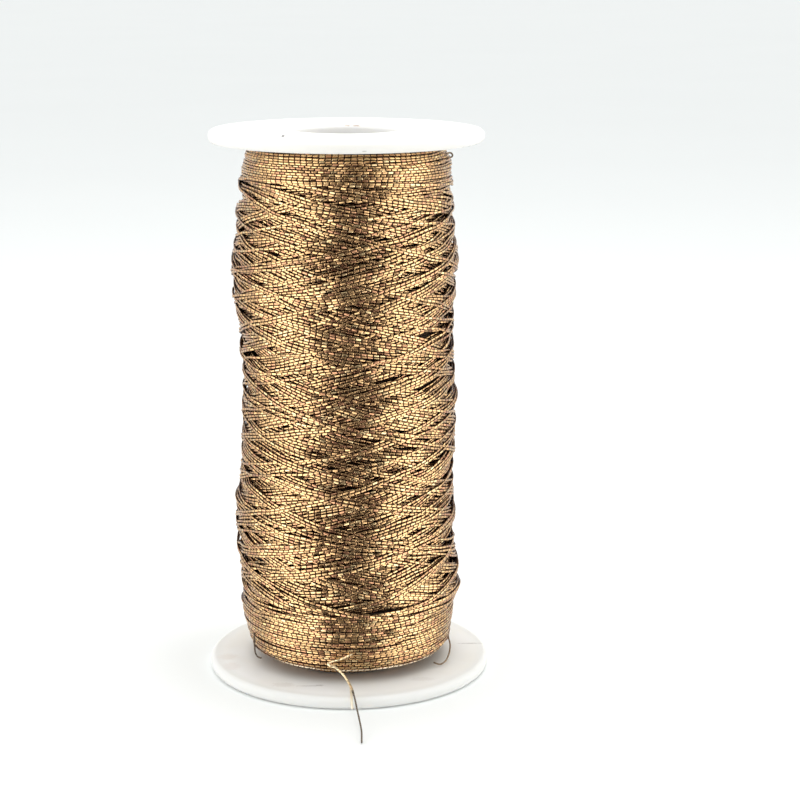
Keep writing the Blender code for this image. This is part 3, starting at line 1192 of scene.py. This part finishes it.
def studio():
    scene = bpy.context.scene
    scene.view_settings.view_transform = "Standard"
    scene.view_settings.look = "None"
    scene.view_settings.exposure = 0.0
    scene.view_settings.gamma = 1.0

    mesh = bpy.data.meshes.new("floor")
    mesh.from_pydata(
        [(-12, -12, 0), (12, -12, 0), (12, 12, 0), (-12, 12, 0)], [], [(0, 1, 2, 3)]
    )
    mesh.materials.append(floor_material())
    floor = bpy.data.objects.new("floor", mesh)
    scene.collection.objects.link(floor)
    floor.location = (0, 0, -0.00002)
    floor.visible_glossy = False

    # The light all round: a bright ceiling, two broad windows left and right of
    # the front, and a dim stretch between them.
    world = bpy.data.worlds.new("studio")
    scene.world = world
    world.use_nodes = True
    tree = world.node_tree
    back = tree.nodes["Background"]
    coords = tree.nodes.new("ShaderNodeTexCoord")
    split = tree.nodes.new("ShaderNodeSeparateXYZ")
    tree.links.new(coords.outputs["Generated"], split.inputs[0])

    def calc(operation, a, b=0.0, c=0.0):
        node = tree.nodes.new("ShaderNodeMath")
        node.operation = operation
        for socket, value in zip(node.inputs, (a, b, c)):
            if isinstance(value, bpy.types.NodeSocket):
                tree.links.new(value, socket)
            else:
                socket.default_value = value
        return node.outputs[0]

    azimuth = calc("ARCTAN2", split.outputs[0], calc("MULTIPLY", split.outputs[1], -1.0))
    place = calc("MULTIPLY_ADD", azimuth, 1.0 / TWO_PI, 0.5)
    ramp = tree.nodes.new("ShaderNodeValToRGB")
    ramp.color_ramp.interpolation = "EASE"
    stops = ROUND_ABOUT
    band = ramp.color_ramp.elements
    band[0].position, band[1].position = 0.0, 1.0
    for k, (degrees, level) in enumerate(stops):
        spot = (degrees + 180) / 360
        element = band[0] if k == 0 else band[-1] if k == len(stops) - 1 else band.new(spot)
        warm = max(0.0, 1.0 - level)  # the dim stretch is the brown of a room
        element.color = (level / 4, level / 4 * (1 - 0.32 * warm), level / 4 * (1 - 0.22 * warm), 1)
    tree.links.new(place, ramp.inputs[0])
    level = tree.nodes.new("ShaderNodeVectorMath")
    level.operation = "SCALE"
    tree.links.new(ramp.outputs[0], level.inputs[0])
    level.inputs["Scale"].default_value = 4.0
    # the ceiling is a little brighter towards the back
    above = tree.nodes.new("ShaderNodeVectorMath")
    above.operation = "SCALE"
    above.inputs[0].default_value = (0.972, 1.0, 0.994)
    tree.links.new(
        calc("MULTIPLY_ADD", split.outputs[1], CEILING_TO_BACK, CEILING), above.inputs["Scale"]
    )
    up = tree.nodes.new("ShaderNodeMapRange")
    up.interpolation_type = "SMOOTHSTEP"
    for key, value in (("From Min", 0.34), ("From Max", 0.70)):
        up.inputs[key].default_value = value
    tree.links.new(split.outputs[2], up.inputs["Value"])
    blend = tree.nodes.new("ShaderNodeMix")
    blend.data_type = "VECTOR"
    tree.links.new(up.outputs["Result"], blend.inputs["Factor"])
    tree.links.new(level.outputs[0], blend.inputs[4])
    tree.links.new(above.outputs[0], blend.inputs[5])
    tree.links.new(blend.outputs[1], back.inputs["Color"])
    back.inputs["Strength"].default_value = 1.0

    area("overhead", (0.02, 0.03, 0.50), (0, 0, 0.03), (0.30, 0.24), 1.25, (1.0, 0.99, 0.97))


# How bright the surroundings are, by azimuth: 0 is the front, 90 the right.
ROUND_ABOUT = (
    (-180, 1.02),
    (-140, 0.95),
    (-108, 0.98),
    (-82, 2.5),
    (-60, 3.1),
    (-38, 2.3),
    (-18, 0.18),
    (8, 0.0),
    (26, 0.12),
    (42, 1.55),
    (62, 3.0),
    (86, 2.8),
    (110, 1.08),
    (140, 0.95),
    (180, 1.02),
)
CEILING = 0.81
CEILING_TO_BACK = 0.14

# ------------------------------------------------------------------- assembly
make_camera()
gold = thread_material("metallic_gold_thread")
loose = loose_material("loose_metallic_thread", 0.55)
tail(loose, build_winding(gold))
# the slack loops' foil is dark brown: painted shade for loops that lie in shadow; beyond x = -10 mm they are bare yarn
slack(loose_material("slack_metallic_thread", 0.5, bare_to_x=-10.0, pale=(0.24, 0.175, 0.115)))
top_white = plastic_material(
    "white_moulded_plastic",
    (0.91, 0.905, 0.89),
    rings=(
        # painted shade in the mouth of the hole: the tone darkens towards the bore
        (8.6, 9.3, 0.30, 0.0, (0.84, 0.83, 0.81)),
        # painted shade on the rim: the tone darkens towards the outer edge
        (20.9, 21.65, 0.0, 1.0, (0.86, 0.845, 0.805)),
    ),
    marks=(
        ((-9.54, -13.09, 88.0), (0.30, 1.9, 0.3), (0.03, 0.025, 0.02), 1.0),
        # a dark line at the hole's left end: painted shade at the edge of the hole
        ((-9.33, 0.85, 88.0), (0.12, 0.8, 0.3), (0.12, 0.10, 0.08), 0.8),
        ((0.15, 8.72, 87.74), (0.55, 0.5, 0.16), (0.36, 0.22, 0.13), 0.55),
        ((1.7, 8.62, 87.70), (0.8, 0.5, 0.17), (0.30, 0.17, 0.10), 0.65),
        # grey marks along the rim's lower rounding, at its left and right ends and at the front
        ((-20.6, -5.1, 86.18), (0.6, 0.9, 0.34), (0.34, 0.33, 0.31), 0.60),
        ((-19.9, -7.0, 86.12), (0.6, 0.5, 0.28), (0.34, 0.33, 0.31), 0.50),
        ((-18.9, -9.2, 86.08), (0.4, 0.4, 0.22), (0.34, 0.33, 0.31), 0.45),
        ((20.9, -4.2, 86.22), (0.6, 0.5, 0.38), (0.30, 0.29, 0.28), 0.70),
        ((19.7, -7.5, 86.12), (0.6, 0.6, 0.28), (0.30, 0.29, 0.28), 0.65),
        ((18.5, -10.0, 86.10), (0.5, 0.4, 0.24), (0.30, 0.29, 0.28), 0.55),
        ((17.5, -11.6, 86.08), (0.5, 0.4, 0.20), (0.30, 0.29, 0.28), 0.50),
        ((12.9, -16.5, 86.04), (0.4, 0.4, 0.11), (0.25, 0.24, 0.23), 0.50),
        ((2.6, -21.4, 86.48), (0.4, 0.4, 0.11), (0.25, 0.24, 0.23), 0.40),
    ),
)
low_white = plastic_material(
    "white_moulded_plastic_low",
    (0.915, 0.915, 0.905),
    rings=(
        # painted shadow under the package's foot, tinted brown as a painted reflection of the gold thread: darker
        # towards the package
        (13.5, 17.6, 0.50, 0.0, (0.42, 0.36, 0.30)),
        # painted shade on the rim: the tone darkens towards the outer edge
        (20.4, 22.3, 0.0, 1.0, (0.80, 0.80, 0.775)),
    ),
    mottle=1.9,
    specks=0.75,
    gloss=0.22,
    marks=(
        ((-20.0, -3.4, 2.0), (1.9, 1.7, 0.3), (0.74, 0.68, 0.62), 0.34),
        ((-19.1, -7.9, 2.0), (1.6, 2.2, 0.3), (0.76, 0.69, 0.64), 0.30),
        ((-6.2, -17.2, 2.0), (2.6, 0.30, 0.3), (0.52, 0.50, 0.47), 0.45),
        ((-4.7, -16.9, 2.0), (0.9, 0.20, 0.3), (0.38, 0.36, 0.34), 0.55),
        ((-10.5, -16.6, 2.0), (2.2, 1.1, 0.3), (0.70, 0.67, 0.62), 0.40),
        ((11.5, -14.6, 2.0), (2.6, 1.0, 0.3), (0.73, 0.70, 0.66), 0.35),
        ((20.4, 2.22, 2.0), (2.6, 0.20, 0.3), (0.42, 0.40, 0.38), 0.75),
    ),
)
flange("top_flange_moulding", "top_flange", True, top_white)
flange("bottom_flange_moulding", "bottom_flange", False, low_white)
tube_white = plastic_material("tube_plastic", (0.80, 0.79, 0.76), specks=0.0)
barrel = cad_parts["barrel"]
barrel.data.materials.clear()
barrel.data.materials.append(tube_white)
studio()
